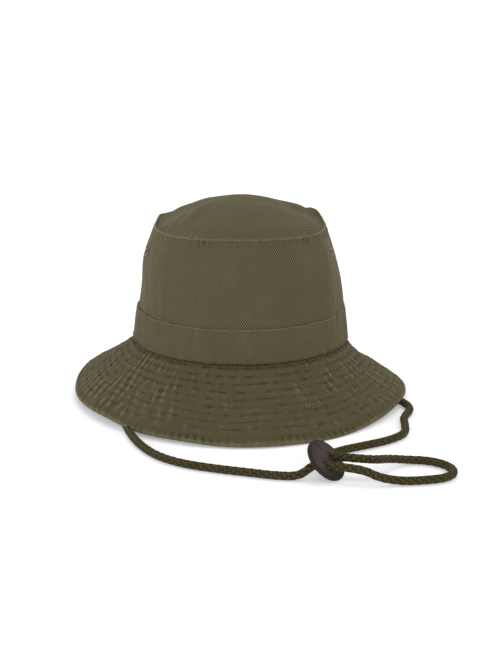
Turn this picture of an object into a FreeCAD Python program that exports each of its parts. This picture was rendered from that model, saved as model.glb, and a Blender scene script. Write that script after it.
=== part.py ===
import FreeCAD, Part
import Sketcher
import math
import os

# Bucket hat of washed cotton twill with a braided chin cord and a two-hole disc toggle.
# Frame: millimetres, +Z up, the wearer looks along -Y, the origin is on the table under the crown's middle.

doc = FreeCAD.newDocument("bucket_hat")

# ---- driving dimensions -------------------------------------------------------------------------

SIZES = [
    ("cloth", 0.7, "thickness of one layer of twill"),
    ("ply_gap", 0.3, "air left between two layers of cloth"),
    ("oval_ratio", 1.1, "length of the head oval over its width"),
    ("headline_height", 50, "height of the seam between crown and brim"),
    ("headline_half_width", 90.4, "half width of the crown wall at the headline"),
    ("shoulder_height", 119, "height at which the crown wall starts to lean in"),
    ("shoulder_half_width", 80.5, "half width of the crown wall at the shoulder"),
    ("rim_height", 146, "height of the seam between crown wall and tip"),
    ("rim_half_width", 71.5, "half width of the crown wall at the rim"),
    ("dome_rise", 20, "rise of the domed tip over the rim"),
    ("band_height", 27, "height of the outer band"),
    ("sweatband_height", 30, "height of the inner sweatband"),
    ("tape", 0.6, "thickness of a seam tape"),
    ("tip_tape_height", 9, "height of the tape behind the rim seam"),
    ("side_tape_width", 12, "width of the tape behind a side seam"),
    ("label_width", 22, "width of the blank size label"),
    ("label_height", 16, "height of the blank size label"),
    ("label_lift", 6, "label's lower edge over the headline"),
    ("brim_inner_half_width", 88.9, "half width of the brim's inner edge"),
    ("brim_half_width", 142, "half width of the brim's outer edge"),
    ("brim_half_length", 156, "half length of the brim's outer edge"),
    ("stiffener", 0.5, "thickness of the brim's interlining"),
    ("stiffener_inset", 4, "distance from the interlining to the brim's edges"),
    ("edge_mean", 6.0, "mean height of the brim's wavy edge"),
    ("cosine_one", -1.9, "one wave round the brim, over its side"),
    ("sine_one", -0.2, "one wave round the brim, over its back"),
    ("cosine_two", 4.0, "two waves round the brim, sides up, front and back down"),
    ("sine_two", 0.2, "two waves round the brim, turned an eighth"),
    ("cosine_three", 1.4, "three waves round the brim"),
    ("sine_three", 0.8, "three waves round the brim, turned a twelfth"),
    ("cosine_four", -0.8, "four waves round the brim"),
    ("sine_four", -1.3, "four waves round the brim, turned a sixteenth"),
    ("eyelet_height", 127.5, "height of the vent eyelets"),
    ("eyelet_turn", 20, "degrees from the crown's side to each eyelet"),
    ("eyelet_bore", 2.0, "radius of an eyelet's hole"),
    ("eyelet_barrel", 2.5, "outer radius of an eyelet's barrel"),
    ("eyelet_flange", 3.6, "outer radius of an eyelet's flange"),
    ("eyelet_metal", 0.5, "thickness of an eyelet's flange"),
    ("washer_metal", 0.4, "thickness of an eyelet's washer"),
    ("washer_radius", 3.9, "outer radius of an eyelet's washer"),
    ("barrel_clearance", 0.4, "gap between the barrel and the hole in the cloth"),
    ("washer_clearance", 0.1, "gap between the barrel and its washer"),
    ("tab_width", 14, "width of a cord tab"),
    ("tab_depth", 7, "depth of a cord tab, the cord's end inside it"),
    ("tab_bottom", 38, "height of a cord tab's lower end"),
    ("tab_top", 56, "height of a cord tab's upper end"),
    ("tab_corner", 2.5, "radius of a cord tab's upright corners"),
    ("cord_diameter", 5.5, "diameter of the braided cord"),
    ("toggle_diameter", 34, "diameter of the disc toggle"),
    ("toggle_thickness", 3.4, "thickness of the disc toggle"),
    ("toggle_edge", 1.3, "rounding of the toggle's edges"),
    ("hole_spacing", 13, "distance between the toggle's two holes"),
    ("hole_clearance", 0.3, "gap round the cord in a toggle hole"),
    ("toggle_lean", 45, "degrees between the toggle's axis and the cord through it"),
]

sheet = doc.addObject("Spreadsheet::Sheet", "sizes")
for row, (alias, number, meaning) in enumerate(SIZES, start=1):
    sheet.set(f"A{row}", meaning)
    sheet.set(f"B{row}", str(number))
    sheet.setAlias(f"B{row}", alias)
doc.recompute()


def size(alias):
    """The number that the sheet holds under this alias."""
    return float(getattr(sheet, alias))


def worth(expression):
    """The number that an expression on the sheet gives."""
    return float(sheet.evalExpression(expression))


# ---- the crown wall, which every layer of the crown follows ---------------------------------------

LOWER_LEAN = ("(sizes.headline_half_width - sizes.shoulder_half_width)"
              " / (sizes.shoulder_height - sizes.headline_height)")
UPPER_LEAN = ("(sizes.shoulder_half_width - sizes.rim_half_width)"
              " / (sizes.rim_height - sizes.shoulder_height)")


def wall_half_width(height):
    """Expression for the wall's outer half width at a height, itself an expression, under the shoulder."""
    return f"sizes.headline_half_width - ({height} - sizes.headline_height) * {LOWER_LEAN}"


def upper_half_width(height):
    """Expression for the wall's outer half width at a height over the shoulder."""
    return f"sizes.shoulder_half_width - ({height} - sizes.shoulder_height) * {UPPER_LEAN}"


def oval(name, half_width, height):
    """A head oval at a height, its long axis along Y."""
    ring = doc.addObject("Part::Ellipse", name)
    ring.Placement = FreeCAD.Placement(FreeCAD.Vector(), FreeCAD.Rotation(FreeCAD.Vector(0, 0, 1), 90))
    ring.setExpression("MajorRadius", f"({half_width}) * sizes.oval_ratio")
    ring.setExpression("MinorRadius", half_width)
    ring.setExpression("Placement.Base.z", height)
    return ring


def solid_oval(name, sections):
    """A solid ruled through ovals, each given as its half width and its height."""
    loft = doc.addObject("Part::Loft", name)
    loft.Sections = [oval(f"{name}_oval_{i}", *section) for i, section in enumerate(sections)]
    loft.Solid = True
    loft.Ruled = True
    return loft


def boolean(kind, name, base, tool):
    """A boolean whose faces keep their seams, because a merged seam spoils a later cut."""
    result = doc.addObject(kind, name)
    result.Base = base
    result.Tool = tool
    result.Refine = False
    return result


def cut(name, base, tool):
    """What is left of base outside tool."""
    return boolean("Part::Cut", name, base, tool)


def common(name, base, tool):
    """What base and tool share."""
    return boolean("Part::Common", name, base, tool)


def block(name, low, high):
    """A box between two corners, each coordinate an expression."""
    box = doc.addObject("Part::Box", name)
    for side, axis, lower, upper in zip(("Length", "Width", "Height"), "xyz", low, high):
        box.setExpression(side, f"({upper}) - ({lower})")
        box.setExpression(f"Placement.Base.{axis}", lower)
    return box


def wall_layer(name, heights, outer_inset, thickness):
    """A ring of cloth that follows the wall: its outer face lies outer_inset inside the wall's."""
    overrun = 1
    outer = [(f"{half_width(height)} - ({outer_inset})", height) for half_width, height in heights]
    reach = [f"{heights[0][1]} - {overrun}"]
    reach += [height for _, height in heights[1:-1]]
    reach += [f"{heights[-1][1]} + {overrun}"]
    inner = [(f"{half_width(height)} - ({outer_inset}) - {thickness}", height)
             for (half_width, _), height in zip(heights, reach)]
    return cut(name, solid_oval(f"{name}_outside", outer), solid_oval(f"{name}_inside", inner))


parts = {}


def keep(name, item):
    """Name a finished sub-part."""
    item.Label = name
    parts[name] = item
    return item


FAR = "300"
SPLIT = "sizes.ply_gap / 2"

# ---- crown: wall in two halves, tip, band, sweatband and tapes --------------------------------------

wall = wall_layer("wall", [(wall_half_width, "sizes.headline_height"),
                           (wall_half_width, "sizes.shoulder_height"),
                           (upper_half_width, "sizes.rim_height")], "0", "sizes.cloth")


def eyelet_seat(side, end):
    """Place of an eyelet on the wall's outer face, its axis along local Z and pointing outwards."""
    lean = worth(UPPER_LEAN)
    half_width = worth(upper_half_width("sizes.eyelet_height"))
    turn = math.radians(size("eyelet_turn"))
    across = side * math.cos(turn)
    along = end * math.sin(turn)
    seat = FreeCAD.Vector(half_width * across, half_width * size("oval_ratio") * along,
                          size("eyelet_height"))
    outwards = FreeCAD.Vector(across * size("oval_ratio"), along, 0).normalize()
    outwards.z = lean
    return FreeCAD.Placement(seat, FreeCAD.Rotation(FreeCAD.Vector(0, 0, 1), outwards))


EYELETS = {
    "right_front": (1, -1),
    "right_rear": (1, 1),
    "left_rear": (-1, 1),
    "left_front": (-1, -1),
}
HOLE_DEPTH = 10


def pierce(name, base, seat):
    """Cut an eyelet's hole through the wall."""
    punch = doc.addObject("Part::Cylinder", f"{name}_punch")
    punch.setExpression("Radius", "sizes.eyelet_barrel + sizes.barrel_clearance")
    punch.Height = HOLE_DEPTH
    punch.Placement = seat.multiply(
        FreeCAD.Placement(FreeCAD.Vector(0, 0, -HOLE_DEPTH / 2), FreeCAD.Rotation()))
    return cut(name, base, punch)


for spot, (side, end) in EYELETS.items():
    wall = pierce(f"wall_hole_{spot}", wall, eyelet_seat(side, end))
for half, low, high in (("front", f"-{FAR}", f"-{SPLIT}"), ("rear", SPLIT, FAR)):
    keep(f"crown_side_{half}", common(f"wall_{half}", wall, block(
        f"half_{half}", (f"-{FAR}", low, "0"), (FAR, high, FAR))))


def dome(name, inset):
    """The upper half of an ellipsoid that sits on the rim, smaller by an inset."""
    bulge = doc.addObject("Part::Ellipsoid", name)
    bulge.setExpression("Radius1", f"sizes.dome_rise - {inset}")
    bulge.setExpression("Radius2", f"sizes.rim_half_width - {inset}")
    bulge.setExpression("Radius3", f"sizes.rim_half_width * sizes.oval_ratio - {inset}")
    bulge.Angle1 = 0
    bulge.setExpression("Placement.Base.z", "sizes.rim_height + sizes.ply_gap")
    return bulge


keep("crown_tip", cut("tip", dome("dome_outside", "0"), dome("dome_inside", "sizes.cloth")))

BEHIND_WALL = "sizes.cloth + sizes.ply_gap"
keep("tip_seam_tape", wall_layer("tip_tape", [
    (upper_half_width, "sizes.rim_height - sizes.tip_tape_height"),
    (upper_half_width, "sizes.rim_height - sizes.ply_gap")], BEHIND_WALL, "sizes.tape"))

keep("hat_band", wall_layer("band", [
    (wall_half_width, "sizes.headline_height"),
    (wall_half_width, "sizes.headline_height + sizes.band_height")],
    "0 - sizes.ply_gap - sizes.cloth", "sizes.cloth"))

keep("sweatband", wall_layer("inner_band", [
    (wall_half_width, "sizes.headline_height"),
    (wall_half_width, "sizes.headline_height + sizes.sweatband_height")], BEHIND_WALL, "sizes.cloth"))

side_tape = wall_layer("side_tape", [
    (wall_half_width, "sizes.headline_height + sizes.sweatband_height + sizes.ply_gap"),
    (wall_half_width, "sizes.shoulder_height"),
    (upper_half_width, "sizes.rim_height - sizes.tip_tape_height - sizes.ply_gap")], BEHIND_WALL, "sizes.tape")
for side, low, high in (("left", f"-{FAR}", "0"), ("right", "0", FAR)):
    strip = block(f"side_tape_{side}_strip", (low, "0 - sizes.side_tape_width / 2", "0"),
                  (high, "sizes.side_tape_width / 2", FAR))
    keep(f"side_seam_tape_{side}", common(f"side_tape_{side}", side_tape, strip))

LABEL_LOW = "sizes.headline_height + sizes.label_lift"
LABEL_HIGH = f"{LABEL_LOW} + sizes.label_height"
label_ring = wall_layer("label_ring", [(wall_half_width, LABEL_LOW), (wall_half_width, LABEL_HIGH)],
                        "2 * sizes.cloth + 2 * sizes.ply_gap", "sizes.tape")
keep("size_label", common("label", label_ring, block(
    "label_patch", ("0 - sizes.label_width / 2", "0", "0"), ("sizes.label_width / 2", FAR, FAR))))

# ---- brim: two plies of cloth with an interlining between them, each in a front and a rear half -------

ACROSS_STEPS = 36


def brim_edge_height(turn):
    """Height of the brim's lower face at its edge: a mean and four pairs of waves round the oval."""
    height = size("edge_mean")
    for count, word in enumerate(("one", "two", "three", "four"), start=1):
        height += size(f"cosine_{word}") * math.cos(count * turn)
        height += size(f"sine_{word}") * math.sin(count * turn)
    return height


def brim_curve(half_width, lift, end):
    """Half an oval round the brim at a half width, on the slope from its inner edge down to its wavy edge."""
    inner = size("brim_inner_half_width")
    inner_height = size("headline_height") - size("ply_gap") - brim_stack()
    share = (half_width - inner) / (size("brim_half_width") - inner)
    inner_length = inner * size("oval_ratio")
    half_length = inner_length + (size("brim_half_length") - inner_length) * share
    start = math.asin(size("ply_gap") / 2 / half_length)
    points = []
    for step in range(ACROSS_STEPS + 1):
        turn = end * (start + (math.pi - 2 * start) * step / ACROSS_STEPS)
        height = inner_height + (brim_edge_height(turn) - inner_height) * share
        points.append(FreeCAD.Vector(half_width * math.cos(turn), half_length * math.sin(turn), height + lift))
    curve = Part.BSplineCurve()
    curve.interpolate(Points=points, Parameters=[float(step) for step in range(ACROSS_STEPS + 1)])
    return curve.toShape()


def brim_rise(thickness):
    """Vertical thickness of a layer that is this thick across the brim's slope."""
    drop = size("headline_height") - size("edge_mean")
    reach = size("brim_half_width") - size("brim_inner_half_width")
    return thickness * math.hypot(drop, reach) / reach


def brim_stack():
    """Vertical thickness of both plies, the interlining and the gaps between them."""
    return brim_rise(2 * size("cloth") + 2 * size("ply_gap") + size("stiffener"))


def brim_layer(inset, lift, rise, end):
    """Half a ring of the brim between two half widths, closed by ruled faces and two flat ends."""
    inner = size("brim_inner_half_width") + inset
    outer = size("brim_half_width") - inset
    corners = [(inner, lift), (outer, lift), (outer, lift + rise), (inner, lift + rise)]
    curves = [brim_curve(half_width, height, end) for half_width, height in corners]
    faces = [Part.makeRuledSurface(curves[i], curves[(i + 1) % 4]) for i in range(4)]
    for tip in (0, 1):
        loop = [curve.Vertexes[tip].Point for curve in curves]
        faces.append(Part.Face(Part.makePolygon(loop + loop[:1])))
    shell = Part.makeShell(faces)
    shell.sewShape()
    solid = Part.makeSolid(Part.Shell(shell.Faces))
    if solid.Volume < 0:
        solid.reverse()
    return solid


cloth_rise = brim_rise(size("cloth"))
gap_rise = brim_rise(size("ply_gap"))
stiffener_rise = brim_rise(size("stiffener"))
BRIM_LAYERS = {
    "brim_lower": (0, 0, cloth_rise),
    "brim_stiffener": (size("stiffener_inset"), cloth_rise + gap_rise, stiffener_rise),
    "brim_upper": (0, cloth_rise + 2 * gap_rise + stiffener_rise, cloth_rise),
}
for layer, (inset, lift, rise) in BRIM_LAYERS.items():
    for half, end in (("front", -1), ("rear", 1)):
        piece = doc.addObject("Part::Feature", f"{layer}_{half}_cloth")
        piece.Shape = brim_layer(inset, lift, rise, end)
        keep(f"{layer}_{half}", piece)


# ---- bodies made from sketches: eyelets, washers, cord tabs and toggle -------------------------------

def origin_plane(body, role):
    """One of a body's own base planes."""
    return next(plane for plane in body.Origin.OriginFeatures if plane.Role == role)


def sketch_on(body, name, role, tilt=None):
    """A sketch on a base plane of its body, turned by a tilt where one is given."""
    sketch = body.newObject("Sketcher::SketchObject", name)
    sketch.AttachmentSupport = [(origin_plane(body, role), "")]
    sketch.MapMode = "FlatFace"
    if tilt:
        sketch.AttachmentOffset = FreeCAD.Placement(FreeCAD.Vector(), tilt)
    return sketch


def close_polygon(sketch, corners):
    """A closed outline whose corners lie at the given expressions; "0" puts a corner on that axis."""
    places = [FreeCAD.Vector(worth(x), worth(y), 0) for x, y in corners]
    count = len(places)
    for i in range(count):
        sketch.addGeometry(Part.LineSegment(places[i], places[(i + 1) % count]), False)
    for i in range(count):
        sketch.addConstraint(Sketcher.Constraint("Coincident", i, 2, (i + 1) % count, 1))
    for i, corner in enumerate(corners):
        for kind, text, place, axis in zip(("DistanceX", "DistanceY"), corner, places[i], (-2, -1)):
            if text == "0":
                sketch.addConstraint(Sketcher.Constraint("PointOnObject", i, 1, axis))
                continue
            index = sketch.addConstraint(Sketcher.Constraint(kind, -1, 1, i, 1, place))
            sketch.setExpression(f"Constraints[{index}]", text)


def turned_body(name, corners):
    """A body turned round its own Z axis from an outline of radii and heights."""
    body = doc.addObject("PartDesign::Body", name)
    outline = sketch_on(body, f"{name}_outline", "XZ_Plane")
    close_polygon(outline, corners)
    turn = body.newObject("PartDesign::Revolution", f"{name}_turn")
    turn.Profile = outline
    turn.ReferenceAxis = (outline, ["V_Axis"])
    turn.Angle = 360
    body.Tip = turn
    return body


# Heights along an eyelet, from the inner end of its barrel outwards through washer, cloth and flange.
BORE = "sizes.eyelet_bore"
BARREL = "sizes.eyelet_barrel"
ROLL = "sizes.eyelet_metal"
WASHER_TOP = f"{ROLL} + sizes.washer_metal"
CLOTH_INSIDE = f"{WASHER_TOP} + sizes.ply_gap"
CLOTH_OUTSIDE = f"{CLOTH_INSIDE} + sizes.cloth"
FLANGE_BOTTOM = f"{CLOTH_OUTSIDE} + sizes.ply_gap"
FLANGE_TOP = f"{FLANGE_BOTTOM} + sizes.eyelet_metal"
ROLL_RADIUS = "sizes.eyelet_barrel + sizes.eyelet_metal"
FLANGE_RADIUS = "sizes.eyelet_flange"
FLANGE_CROWN = "sizes.eyelet_flange - sizes.eyelet_metal"
WASHER_BORE = "sizes.eyelet_barrel + sizes.washer_clearance"

for spot, (side, end) in EYELETS.items():
    seat = eyelet_seat(side, end).multiply(
        FreeCAD.Placement(FreeCAD.Vector(0, 0, -worth(CLOTH_OUTSIDE)), FreeCAD.Rotation()))
    eyelet = turned_body(f"eyelet_body_{spot}", [
        (BORE, "0"), (ROLL_RADIUS, "0"), (ROLL_RADIUS, ROLL), (BARREL, ROLL), (BARREL, FLANGE_BOTTOM),
        (FLANGE_RADIUS, FLANGE_BOTTOM), (FLANGE_CROWN, FLANGE_TOP), (BORE, FLANGE_TOP)])
    eyelet.Placement = seat
    keep(f"eyelet_{spot}", eyelet)
    washer = turned_body(f"washer_body_{spot}", [
        (WASHER_BORE, ROLL), ("sizes.washer_radius", ROLL), ("sizes.washer_radius", WASHER_TOP),
        (WASHER_BORE, WASHER_TOP)])
    washer.Placement = seat
    keep(f"eyelet_washer_{spot}", washer)


def padded(body, sketch, name, length, midplane=False):
    """Pad a sketch by an expression."""
    pad = body.newObject("PartDesign::Pad", name)
    pad.Profile = sketch
    pad.setExpression("Length", length)
    pad.Midplane = midplane
    body.Tip = pad
    doc.recompute()
    return pad


def rounded(body, base, name, edges, radius):
    """Round some edges of a feature by an expression."""
    fillet = body.newObject("PartDesign::Fillet", name)
    fillet.Base = (base, edges)
    fillet.setExpression("Radius", radius)
    body.Tip = fillet
    doc.recompute()
    return fillet


# The tab's outer face is flat, so it stands off the round sweatband by the band's bow over the tab.
SWEATBAND_FACE = f"({wall_half_width('sizes.tab_top')}) - 2 * sizes.cloth - sizes.ply_gap"
TAB_BOW = "sizes.tab_width * sizes.tab_width / 8 / sizes.brim_inner_half_width"
TAB_MIDDLE = f"{SWEATBAND_FACE} - sizes.ply_gap - {TAB_BOW} - sizes.tab_depth / 2"

for name, side in (("left", -1), ("right", 1)):
    tab = doc.addObject("PartDesign::Body", f"tab_body_{name}")
    outline = sketch_on(tab, f"tab_outline_{name}", "XY_Plane")
    half_depth = size("tab_depth") / 2
    half_width = size("tab_width") / 2
    corners = [FreeCAD.Vector(x * half_depth, y * half_width, 0)
               for x, y in ((-1, -1), (1, -1), (1, 1), (-1, 1))]
    for i in range(4):
        outline.addGeometry(Part.LineSegment(corners[i], corners[(i + 1) % 4]), False)
    for i in range(4):
        outline.addConstraint(Sketcher.Constraint("Coincident", i, 2, (i + 1) % 4, 1))
    for i, kind in enumerate(("Horizontal", "Vertical", "Horizontal", "Vertical")):
        outline.addConstraint(Sketcher.Constraint(kind, i))
    outline.addConstraint(Sketcher.Constraint("Symmetric", 0, 1, 2, 1, -1, 1))
    depth = outline.addConstraint(Sketcher.Constraint("DistanceX", 0, 1, 0, 2, 2 * half_depth))
    outline.setExpression(f"Constraints[{depth}]", "sizes.tab_depth")
    width = outline.addConstraint(Sketcher.Constraint("DistanceY", 1, 1, 1, 2, 2 * half_width))
    outline.setExpression(f"Constraints[{width}]", "sizes.tab_width")
    pad = padded(tab, outline, f"tab_pad_{name}", "sizes.tab_top - sizes.tab_bottom")
    upright = [f"Edge{i}" for i, edge in enumerate(pad.Shape.Edges, start=1)
               if abs(edge.tangentAt(edge.FirstParameter).z) > 0.9]
    rounded(tab, pad, f"tab_rounding_{name}", upright, "sizes.tab_corner")
    tab.Placement = FreeCAD.Placement(FreeCAD.Vector(side * worth(TAB_MIDDLE), 0, 0), FreeCAD.Rotation())
    tab.setExpression("Placement.Base.z", "sizes.tab_bottom")
    keep(f"cord_tab_{name}", tab)

# ---- the chin cord: from the left tab to the table, through the toggle, round its loop and back --------

LEFT_STRAND = [
    (-83.8, 0, 38), (-83.8, 0, 26), (-87.5, -14.5, 13), (-92.5, -41, 4.5), (-95.5, -72, 2.8), (-95, -102, 2.8),
    (-89, -129, 2.8), (-79, -156, 2.8), (-66, -181, 2.8), (-46, -200, 2.8), (-21, -212, 2.8), (3, -221, 2.8),
    (16, -226, 3.0), (31, -228.6, 5.8),
]
FRONT_RUN = [(46.2, -227, 11.6), (86.2, -239.6, 11.6)]
LOOP = [
    (104, -238, 5.6), (125, -236.5, 2.8), (145, -237, 2.8), (160, -224.5, 2.8), (158.5, -206, 2.8),
    (141, -198, 2.8), (124, -202, 3.0), (108, -214, 7.5),
]
REAR_RUN = [(93.2, -228.5, 14.6), (53.2, -215.9, 14.6)]
RIGHT_STRAND = [
    (55, -206.5, 9.6), (63, -192, 5.2), (76, -173, 2.8), (94, -160.5, 2.8), (113, -147.5, 2.8), (125.5, -130, 2.8),
    (129, -107, 2.8), (133.5, -83.5, 2.8), (139.5, -61, 2.8), (131, -41, 3.4), (114.5, -25.5, 7.5),
    (98, -12, 15.5), (83.8, 0, 26), (83.8, 0, 38),
]
ROUTE = LEFT_STRAND + FRONT_RUN + LOOP + REAR_RUN + RIGHT_STRAND
ARC_SHARE = 0.45


def route_wire(route):
    """Straight runs joined by tangent arcs, each arc as large as its two runs allow."""
    points = [FreeCAD.Vector(*place) for place in route]
    edges = []
    radii = []
    start = points[0]
    for before, corner, after in zip(points, points[1:], points[2:]):
        back = before - corner
        ahead = after - corner
        reach = ARC_SHARE * min(back.Length, ahead.Length)
        turn = math.pi - back.getAngle(ahead)
        radii.append(reach / math.tan(turn / 2))
        enter = corner + back.normalize() * reach
        leave = corner + ahead.normalize() * reach
        inwards = (back + ahead).normalize()
        bow = radii[-1] * (1 / math.cos(turn / 2) - 1)
        edges.append(Part.LineSegment(start, enter).toShape())
        edges.append(Part.Arc(enter, corner + inwards * bow, leave).toShape())
        start = leave
    edges.append(Part.LineSegment(start, points[-1]).toShape())
    return Part.Wire(edges), radii


path, radii = route_wire(ROUTE)
route = doc.addObject("Part::Feature", "cord_route")
route.Shape = path

section = doc.addObject("Part::Circle", "cord_section")
section.setExpression("Radius", "sizes.cord_diameter / 2")
start, second = (FreeCAD.Vector(*place) for place in ROUTE[:2])
section.Placement = FreeCAD.Placement(start, FreeCAD.Rotation(FreeCAD.Vector(0, 0, 1), second - start))

cord = doc.addObject("Part::Sweep", "cord_tube")
cord.Sections = [section]
cord.Spine = (route, [])
cord.Solid = True
cord.Frenet = False
keep("chin_cord", cord)

# ---- the toggle: a disc threaded by the two straight runs of the cord --------------------------------

front_start, front_end = (FreeCAD.Vector(*place) for place in FRONT_RUN)
rear_end = FreeCAD.Vector(*REAR_RUN[1])
slide = (front_end - front_start).normalize()
TOGGLE_ON_RUN = 10.6
rear_seat = rear_end + slide * TOGGLE_ON_RUN
across = rear_seat - front_start
front_seat = front_start + slide * across.dot(slide)
sideways = (rear_seat - front_seat).normalize()
lean = math.radians(size("toggle_lean"))
facing = slide * math.cos(lean) + slide.cross(sideways) * math.sin(lean)

toggle = doc.addObject("PartDesign::Body", "toggle_body")
disc = sketch_on(toggle, "toggle_outline", "XY_Plane")
disc.addGeometry(Part.Circle(FreeCAD.Vector(), FreeCAD.Vector(0, 0, 1), size("toggle_diameter") / 2), False)
disc.addConstraint(Sketcher.Constraint("Coincident", 0, 3, -1, 1))
diameter = disc.addConstraint(Sketcher.Constraint("Diameter", 0, size("toggle_diameter")))
disc.setExpression(f"Constraints[{diameter}]", "sizes.toggle_diameter")
blank = padded(toggle, disc, "toggle_blank", "sizes.toggle_thickness", midplane=True)
rims = [f"Edge{i}" for i, edge in enumerate(blank.Shape.Edges, start=1) if isinstance(edge.Curve, Part.Circle)]
soft_edge = rounded(toggle, blank, "toggle_soft_edge", rims, "sizes.toggle_edge")

holes = sketch_on(toggle, "toggle_holes", "XY_Plane",
                  FreeCAD.Rotation(FreeCAD.Vector(0, 1, 0), size("toggle_lean")))
hole_radius = "sizes.cord_diameter / 2 + sizes.hole_clearance"
for i, side in enumerate((-1, 1)):
    middle = FreeCAD.Vector(0, side * size("hole_spacing") / 2, 0)
    holes.addGeometry(Part.Circle(middle, FreeCAD.Vector(0, 0, 1), worth(hole_radius)), False)
    radius = holes.addConstraint(Sketcher.Constraint("Radius", i, worth(hole_radius)))
    holes.setExpression(f"Constraints[{radius}]", hole_radius)
holes.addConstraint(Sketcher.Constraint("PointOnObject", 0, 3, -2))
holes.addConstraint(Sketcher.Constraint("Symmetric", 0, 3, 1, 3, -1, 1))
spacing = holes.addConstraint(Sketcher.Constraint("DistanceY", 0, 3, 1, 3, size("hole_spacing")))
holes.setExpression(f"Constraints[{spacing}]", "sizes.hole_spacing")
threading = toggle.newObject("PartDesign::Pocket", "toggle_threading")
threading.Profile = holes
threading.Midplane = True
threading.Type = "Length"
threading.setExpression("Length", "2 * sizes.toggle_diameter")
toggle.Tip = threading
toggle.Placement = FreeCAD.Placement(
    (front_seat + rear_seat) / 2,
    FreeCAD.Rotation(sideways.cross(facing), sideways, facing, "ZYX"))
keep("toggle", toggle)

# ---- checks and files ------------------------------------------------------------------------------

doc.recompute()
print("slide direction", [round(value, 5) for value in slide])
print("toggle middle", [round(value, 3) for value in toggle.Placement.Base], "holes",
      [round(value, 2) for value in front_seat], [round(value, 2) for value in rear_seat])
print("cord radii", [round(radius, 1) for radius in radii], "smallest", round(min(radii), 2))
tube_volume = math.pi * (size("cord_diameter") / 2) ** 2 * path.Length
print("cord length", round(path.Length, 1), "volume share", round(cord.Shape.Volume / tube_volume, 5))
threaded = soft_edge.Shape.Volume - threading.Shape.Volume
print("cut by the two holes", round(threaded, 1))
for spot, (side, end) in EYELETS.items():
    seat = eyelet_seat(side, end)
    axis = seat.Rotation.multVec(FreeCAD.Vector(0, 0, 1))
    print("eyelet", spot, [round(value, 4) for value in seat.Base], [round(value, 5) for value in axis])
print("tab middle", round(worth(TAB_MIDDLE), 3))
print("eyelet length", round(worth(FLANGE_TOP), 3), "cloth outside at", round(worth(CLOTH_OUTSIDE), 3))

faults = [item.Name for item in doc.Objects if "Invalid" in item.State or "Error" in item.State]
faults += [name for name, item in parts.items() if item.Shape.isNull() or not item.Shape.isValid()]
faults += [name for name, item in parts.items() if not item.Shape.Solids]
if faults:
    raise RuntimeError(f"failed objects: {faults}")

os.makedirs("parts", exist_ok=True)
for name, item in parts.items():
    item.Shape.exportStep(f"parts/{name}.step")
print(len(parts), "parts written")
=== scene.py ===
import bpy
import numpy as np
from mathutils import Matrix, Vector


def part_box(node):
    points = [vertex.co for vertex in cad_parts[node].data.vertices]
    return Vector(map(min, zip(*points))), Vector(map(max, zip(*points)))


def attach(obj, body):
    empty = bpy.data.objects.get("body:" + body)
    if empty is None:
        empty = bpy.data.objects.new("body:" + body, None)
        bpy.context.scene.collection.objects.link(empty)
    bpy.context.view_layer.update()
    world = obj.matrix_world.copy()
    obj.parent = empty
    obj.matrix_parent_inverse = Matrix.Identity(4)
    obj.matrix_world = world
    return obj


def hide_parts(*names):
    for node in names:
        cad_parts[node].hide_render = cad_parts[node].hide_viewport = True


# A washed twill bucket hat with a braided chin cord. Shapes are worked out in millimetres and put down in
# metres. A turn is in degrees round the hat: 0 at the right side, 90 at the rear, 180 at the left and 270 at
# the front.

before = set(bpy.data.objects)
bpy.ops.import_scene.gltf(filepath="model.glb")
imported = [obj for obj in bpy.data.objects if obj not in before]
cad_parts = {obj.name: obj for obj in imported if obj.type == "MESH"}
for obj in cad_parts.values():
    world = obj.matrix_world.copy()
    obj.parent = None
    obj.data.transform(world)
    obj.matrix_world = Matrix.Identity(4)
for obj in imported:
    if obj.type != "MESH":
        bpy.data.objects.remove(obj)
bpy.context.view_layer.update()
mm = 0.001
tau = 2 * np.pi


def span(node):
    low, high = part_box(node)
    return np.array(low) / mm, np.array(high) / mm


# The camera looks at the hat's middle from in front and a little above. Lengths are in metres, angles in
# degrees.
cameraSetup = dict(target=(0, 0, 0.060), distance=1.267, elevation=13.87, lens=80.3, shift=(0.0141, -0.0120))

lean = np.radians(cameraSetup["elevation"])
cameraPlace = (Vector(cameraSetup["target"])
               + cameraSetup["distance"] * Vector((0, -np.cos(lean), np.sin(lean))))
camera = bpy.data.objects.new("camera", bpy.data.cameras.new("camera"))
bpy.context.scene.collection.objects.link(camera)
camera.location = cameraPlace
camera.rotation_euler = (Vector(cameraSetup["target"]) - cameraPlace).to_track_quat("-Z", "Y").to_euler()
camera.data.lens = cameraSetup["lens"]
camera.data.shift_x, camera.data.shift_y = cameraSetup["shift"]
bpy.context.scene.camera = camera
print("camera set")


class Signal:  # a socket of a finish, so that shader maths reads as an expression
    def __init__(self, finish, socket):
        self.finish, self.socket = finish, socket

    def join(self, operation, *values):
        return self.finish.node("Math", dict(operation=operation), values)

    def __add__(self, other):
        return self.join("ADD", self, other)

    def __radd__(self, other):
        return self.join("ADD", other, self)

    def __sub__(self, other):
        return self.join("SUBTRACT", self, other)

    def __rsub__(self, other):
        return self.join("SUBTRACT", other, self)

    def __mul__(self, other):
        return self.join("MULTIPLY", self, other)

    def sine(self):
        return self.join("SINE", self)

    def largest(self, other):
        return self.join("MAXIMUM", self, other)

    def clamp(self):
        return self.finish.node("Clamp", {}, [self])

    def ramp(self, low, high):  # smooth step from 0 at low to 1 at high
        return self.finish.node("MapRange", dict(interpolation_type="SMOOTHSTEP"),
                                {"Value": self, "From Min": low, "From Max": high})


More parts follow.
